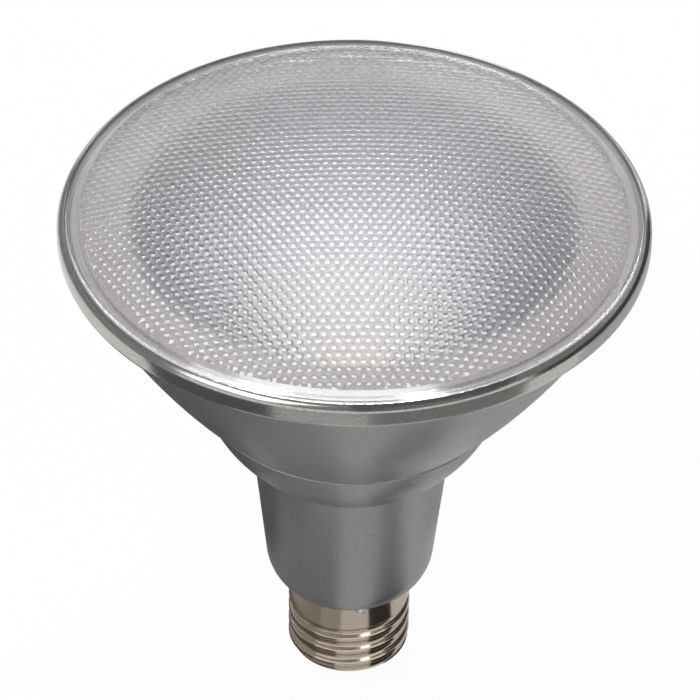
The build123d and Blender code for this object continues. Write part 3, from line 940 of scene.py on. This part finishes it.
@dataclass
class TrimRing(DressedPiece):
    """Painted hoop whose top is rolled over the lens's flange, and whose foot hooks the bowl's."""

    slot: ClassVar[str] = "trim_paint"
    foot_inset: float = 0.6 * MM
    foot_height: float = 1.2 * MM
    roll_radius: float = 2.24 * MM
    roll_start: float = 22.0
    lip_radius: float = 59.5 * MM
    lip_round: float = 0.08 * MM
    lip_thickness: float = 1.23 * MM
    bore_radius: float = 60.1 * MM
    hook_radius: float = 58.4 * MM
    hook_thickness: float = 1.0 * MM
    round_steps: int = 8
    turns: int = 192
    sharp_angle: float = 40.0

    def foot_rounding(self, outside: float, low: float) -> list[tuple[float, float]]:
        """Draw the section from the level foot to the upright wall.

        Args:
            outside: The hoop's outer radius.
            low: Height of its foot.

        Returns:
            Distances from the axis, and heights.
        """
        angles = (pi / 2 * i / self.round_steps for i in range(self.round_steps + 1))
        return [
            (
                outside - self.foot_inset * (1 - sin(a)),
                low + self.foot_height * (1 - cos(a)),
            )
            for a in angles
        ]

    def roll(self, outside: float, high: float) -> list[tuple[float, float]]:
        """Draw the section from the upright wall over the roll to the lip's edge.

        Args:
            outside: The hoop's outer radius.
            high: Height of its top.

        Returns:
            Distances from the axis, and heights.
        """
        start = radians(self.roll_start)
        centre = high - self.roll_radius * cos(start)
        shares = (i / self.round_steps for i in range(self.round_steps + 1))
        angles = (pi / 2 + (start - pi / 2) * share for share in shares)
        return [
            (
                outside - self.roll_radius * (1 - sin(a)),
                centre + self.roll_radius * cos(a),
            )
            for a in angles
        ]

    def build(self) -> bpy.types.Object:
        """Build the hoop, and put it in the place of the CAD one, whose roundings are smaller.

        Returns:
            The piece.
        """
        low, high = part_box("trim_ring")
        outside = min(high.x, high.y, -low.x, -low.y)
        foot = self.foot_rounding(outside, low.z)
        profile = [
            *foot,
            *self.roll(outside, high.z),
            (self.lip_radius, high.z - self.lip_round),
            (self.lip_radius, high.z - self.lip_thickness),
            (self.bore_radius, high.z - self.lip_thickness),
            (self.bore_radius, low.z + self.hook_thickness),
            (self.hook_radius, low.z + self.hook_thickness),
            (self.hook_radius, low.z),
            foot[0],
        ]
        made = spun(profile, self.turns)
        bmesh.ops.recalc_face_normals(made, faces=made.faces)
        piece = piece_from(made, "rolled_trim_ring", self.sharp_angle)
        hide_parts("trim_ring")
        return piece


@dataclass(frozen=True)
class Softbox:
    """A rectangular studio light."""

    name: str
    place: tuple[float, float, float]
    aim: tuple[float, float, float]
    width: float
    depth: float
    power: float

    def build(self) -> bpy.types.Object:
        """Hang the light and point it at its target.

        Returns:
            The light.
        """
        lamp = bpy.data.lights.new(self.name, "AREA")
        lamp.shape = "RECTANGLE"
        lamp.size = self.width
        lamp.size_y = self.depth
        lamp.energy = self.power
        holder = placed(self.name, lamp)
        holder.location = self.place
        direction = Vector(self.aim) - Vector(self.place)
        holder.rotation_euler = direction.to_track_quat("-Z", "Y").to_euler()
        return holder


@dataclass(frozen=True)
class Flag:
    """A grey card round the lamp, out of the picture, that only shows in its metal.

    Its near and far edges are given by their distance from the axis and their height. It runs
    round the axis from a start to an end angle, in degrees from the camera's side to its right.
    """

    name: str
    start: float
    end: float
    near: tuple[float, float]
    far: tuple[float, float]
    colour: str
    lift: float = 0.4 * MM
    steps: int = 32

    def build(self) -> bpy.types.Object:
        """Set up the card: a line swept round the axis.

        Returns:
            The card.
        """
        made = bmesh.new()
        ends = [made.verts.new((0.0, -r, z + self.lift)) for r, z in (self.near, self.far)]
        line = made.edges.new(ends)
        turn = Matrix.Rotation(radians(self.start), 4, "Z")
        bmesh.ops.transform(made, matrix=turn, verts=ends)
        bmesh.ops.spin(
            made,
            geom=ends + [line],
            cent=ORIGIN,
            axis=AXIS,
            angle=radians(self.end - self.start),
            steps=self.steps,
        )
        mesh = to_mesh(made, self.name)
        card, _, shader = new_material(self.name)
        shader.inputs["Base Color"].default_value = to_linear(self.colour)
        shader.inputs["Roughness"].default_value = PAPER_ROUGHNESS
        mesh.materials.append(card)
        holder = placed(self.name, mesh)
        holder.visible_camera = False
        holder.visible_diffuse = False
        holder.visible_transmission = False
        holder.visible_shadow = False
        return holder


# Name, place, aim, width, depth and power in watts
SOFTBOXES = (
    Softbox("overhead_softbox", (-0.05, 0.47, 1.32), (0.0, 0.0, 0.12), 0.5, 0.5, 7.6),
    Softbox("back_scrim", (0.0, 2.0, 1.55), (0.0, 0.0, 0.12), 2.6, 1.8, 6.5),
    Softbox("front_fill", (-0.85, -0.77, 1.4), (0.0, 0.0, 0.1), 1.0, 1.1, 9.0),
    Softbox("side_softbox", (1.1, 1.0, 0.7), (0.0, 0.0, 0.08), 1.2, 1.2, 1.0),
    # Lights the crests of the cap's thread
    Softbox("strip_light", (0.555, -1.044, 0.934), (0.0, 0.0, 0.01), 0.3, 0.6, 1.8),
)
# Name, start and end angle, near and far edge, and colour
FLAGS = (
    # On the floor, for the bowl and the neck
    Flag("back_left_flag", -155.0, -90.0, (0.043, 0.0), (0.13, 0.0), "404040"),
    Flag("left_flag", -90.0, -45.0, (0.043, 0.0), (0.13, 0.0), "808080"),
    Flag("bowl_left_flag", -155.0, -45.0, (0.03, 0.0), (0.043, 0.0), "b4b0ac"),
    Flag("front_left_flag", -45.0, -12.0, (0.03, 0.0), (0.13, 0.0), "d0d0d0"),
    Flag("near_flag", 36.0, 60.0, (0.045, 0.0), (0.12, 0.0), "b4b4b4"),
    # On the floor, for the ring
    Flag("ring_left_flag", -72.0, -26.0, (0.13, 0.0), (1.6, 0.0), "50545a"),
    Flag("ring_near_flag", -26.0, 6.0, (0.13, 0.0), (1.6, 0.0), "cccccc"),
    Flag("far_flag", 6.0, 60.0, (0.12, 0.0), (1.6, 0.0), "909090"),
    Flag("right_flag", 84.0, 175.0, (0.05, 0.0), (1.6, 0.0), "d0d0d0"),
    # On the floor, for the cap
    Flag("base_left_flag", -170.0, -50.0, (0.014, 0.0), (0.03, 0.0), "6e6054"),
    Flag("base_front_flag", -50.0, -18.0, (0.014, 0.0), (0.03, 0.0), "908476"),
    Flag("base_flag", 31.0, 72.0, (0.014, 0.0), (0.045, 0.0), "383838"),
    # Between a light and the piece that shouldn't mirror it
    Flag("base_shade", -80.0, -10.0, (0.0145, 0.0245), (0.045, 0.0245), "b8b8b8"),
    Flag("ring_shade", 0.0, 40.0, (0.058, 0.14), (0.12, 0.14), "707070"),
    # Upright, at the edges of the floor that the paint mirrors
    Flag("left_card", -150.0, -60.0, (0.6, 0.0), (0.6, 0.35), "a8a8a8"),
    Flag("right_card", 62.0, 140.0, (0.6, 0.0), (0.6, 0.35), "404040"),
)


@dataclass
class Studio:
    """White floor and sweep, soft light, grey cards, and the camera where the photo has it."""

    camera_place: tuple[float, float, float] = (0.0, -0.8570, 0.8081)
    camera_aim: tuple[float, float, float] = (-0.000556, 0.0, 0.0866)
    camera_roll: float = -0.81
    focal_px: float = 5360.1
    image_px: float = 700.0
    sensor_width: float = 36.0
    view_depth: float = 50.0
    floor_radius: float = 3.5
    floor_sides: int = 96
    floor_gap: float = 0.02 * MM
    sweep_height: float = 1.6
    paper_colour: str = "f8f8f8"
    world_level: float = 0.25
    camera_white: float = 0.96
    floor_mirror_white: float = 0.2
    sweep_mirror_white: float = 0.9
    lens_bounces: int = 12

    def hang_world(self) -> None:
        """Light the scene evenly from all round."""
        world = bpy.data.worlds.new("studio_room")
        bpy.context.scene.world = world
        world.use_nodes = True
        background = world.node_tree.nodes["Background"]
        background.inputs["Color"].default_value = (1.0, 1.0, 1.0, 1.0)
        background.inputs["Strength"].default_value = self.world_level

    def white_paper(self, name: str, mirror_white: float) -> bpy.types.Material:
        """Make white paper that shows as white where it isn't in the lamp's shadow.

        Args:
            name: Name of the material.
            mirror_white: How white it shows in metal and glass, from 0, its plain lit look, to 1.

        Returns:
            The material.
        """
        made, tree, shader = new_material(name)
        shader.inputs["Base Color"].default_value = to_linear(self.paper_colour)
        shader.inputs["Roughness"].default_value = PAPER_ROUGHNESS
        shader.inputs["Specular IOR Level"].default_value = 0.0
        glow = add_node(tree, "ShaderNodeEmission", values={"Strength": 1.0})
        path = add_node(tree, "ShaderNodeLightPath").outputs
        straight = add_node(
            tree,
            "ShaderNodeMath",
            {"operation": "MULTIPLY"},
            {1: self.camera_white},
            {0: path["Is Camera Ray"]},
        )
        mirrored = add_node(
            tree,
            "ShaderNodeMath",
            {"operation": "MAXIMUM"},
            links={0: path["Is Glossy Ray"], 1: path["Is Transmission Ray"]},
        )
        share = add_node(
            tree,
            "ShaderNodeMath",
            {"operation": "MULTIPLY_ADD"},
            {1: mirror_white},
            {0: mirrored.outputs["Value"], 2: straight.outputs["Value"]},
        )
        mix = add_node(
            tree,
            "ShaderNodeMixShader",
            links={
                0: share.outputs["Value"],
                1: shader.outputs["BSDF"],
                2: glow.outputs["Emission"],
            },
        )
        tree.links.new(mix.outputs["Shader"], tree.nodes["Material Output"].inputs["Surface"])
        return made

    def lay_floor(self) -> bpy.types.Object:
        """Lay the paper under the lamp, and turn it up into a low sweep all round.

        Returns:
            The floor.
        """
        made = bmesh.new()
        bmesh.ops.create_circle(
            made, cap_ends=True, segments=self.floor_sides, radius=self.floor_radius
        )
        rim = [e for e in made.edges if e.is_boundary]
        wall = bmesh.ops.extrude_edge_only(made, edges=rim)["geom"]
        top = [v for v in wall if isinstance(v, bmesh.types.BMVert)]
        bmesh.ops.translate(made, verts=top, vec=(0, 0, self.sweep_height))
        bmesh.ops.translate(made, verts=made.verts, vec=(0, 0, -self.floor_gap))
        for face in (f for f in wall if isinstance(f, bmesh.types.BMFace)):
            face.material_index = 1
        mesh = to_mesh(made, "floor")
        mesh.materials.append(self.white_paper("floor_paper", self.floor_mirror_white))
        mesh.materials.append(self.white_paper("sweep_paper", self.sweep_mirror_white))
        sheet = placed("floor", mesh)
        return sheet

    def set_camera(self) -> bpy.types.Object:
        """Stand the camera at the photograph's place, with its tilt and focal length.

        Returns:
            The camera, which is the scene's own.
        """
        lens = bpy.data.cameras.new("camera")
        lens.sensor_fit = "HORIZONTAL"
        lens.sensor_width = self.sensor_width
        lens.lens = self.focal_px * lens.sensor_width / self.image_px
        lens.clip_end = self.view_depth
        camera = placed("camera", lens)
        place = Vector(self.camera_place)
        look = (Vector(self.camera_aim) - place).normalized()
        right = look.cross(Vector(AXIS)).normalized()
        up = right.cross(look)
        roll = radians(self.camera_roll)
        tilted_right = right * cos(roll) - up * sin(roll)
        tilted_up = right * sin(roll) + up * cos(roll)
        camera.matrix_world = Matrix(
            (
                (tilted_right.x, tilted_up.x, -look.x, place.x),
                (tilted_right.y, tilted_up.y, -look.y, place.y),
                (tilted_right.z, tilted_up.z, -look.z, place.z),
                (0, 0, 0, 1),
            )
        )
        bpy.context.scene.camera = camera
        return camera

    def build(self) -> None:
        """Set up the whole studio."""
        self.hang_world()
        self.lay_floor()
        for stand in (*SOFTBOXES, *FLAGS):
            stand.build()
        self.set_camera()
        bpy.context.scene.view_settings.view_transform = "Standard"
        # Light that the lens's two faces throw to and fro keeps its strength
        bpy.context.scene.cycles.glossy_bounces = self.lens_bounces


def dress_nodes(
    nodes: dict[str, bpy.types.Object], materials: dict[str, bpy.types.Material]
) -> None:
    """Give every CAD node the finish of its slot.

    Args:
        nodes: The CAD nodes by name.
        materials: The material of each slot.
    """
    for name, node in nodes.items():
        slot = node.material_slots[0].material.name.split(".")[0]
        node.material_slots[0].material = materials[slot]
        log.info("%s: %s", name, materials[slot].name)


def main() -> None:
    """Build every piece in order, dress it, and set the scene."""
    logging.basicConfig(level=logging.INFO, format="%(asctime)s %(name)s: %(message)s", force=True)
    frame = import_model()
    materials = {slot: finish.material() for slot, finish in FINISHES.items()}
    for assembly in (Lens(), Reflector(), TrimRing()):
        piece = assembly.build()
        assembly.dress(piece, materials)
        log.info("%s: %d faces", piece.name, len(piece.data.polygons))
    dress_nodes(frame["nodes"], materials)
    Studio().build()


if __name__ == "__main__":
    main()
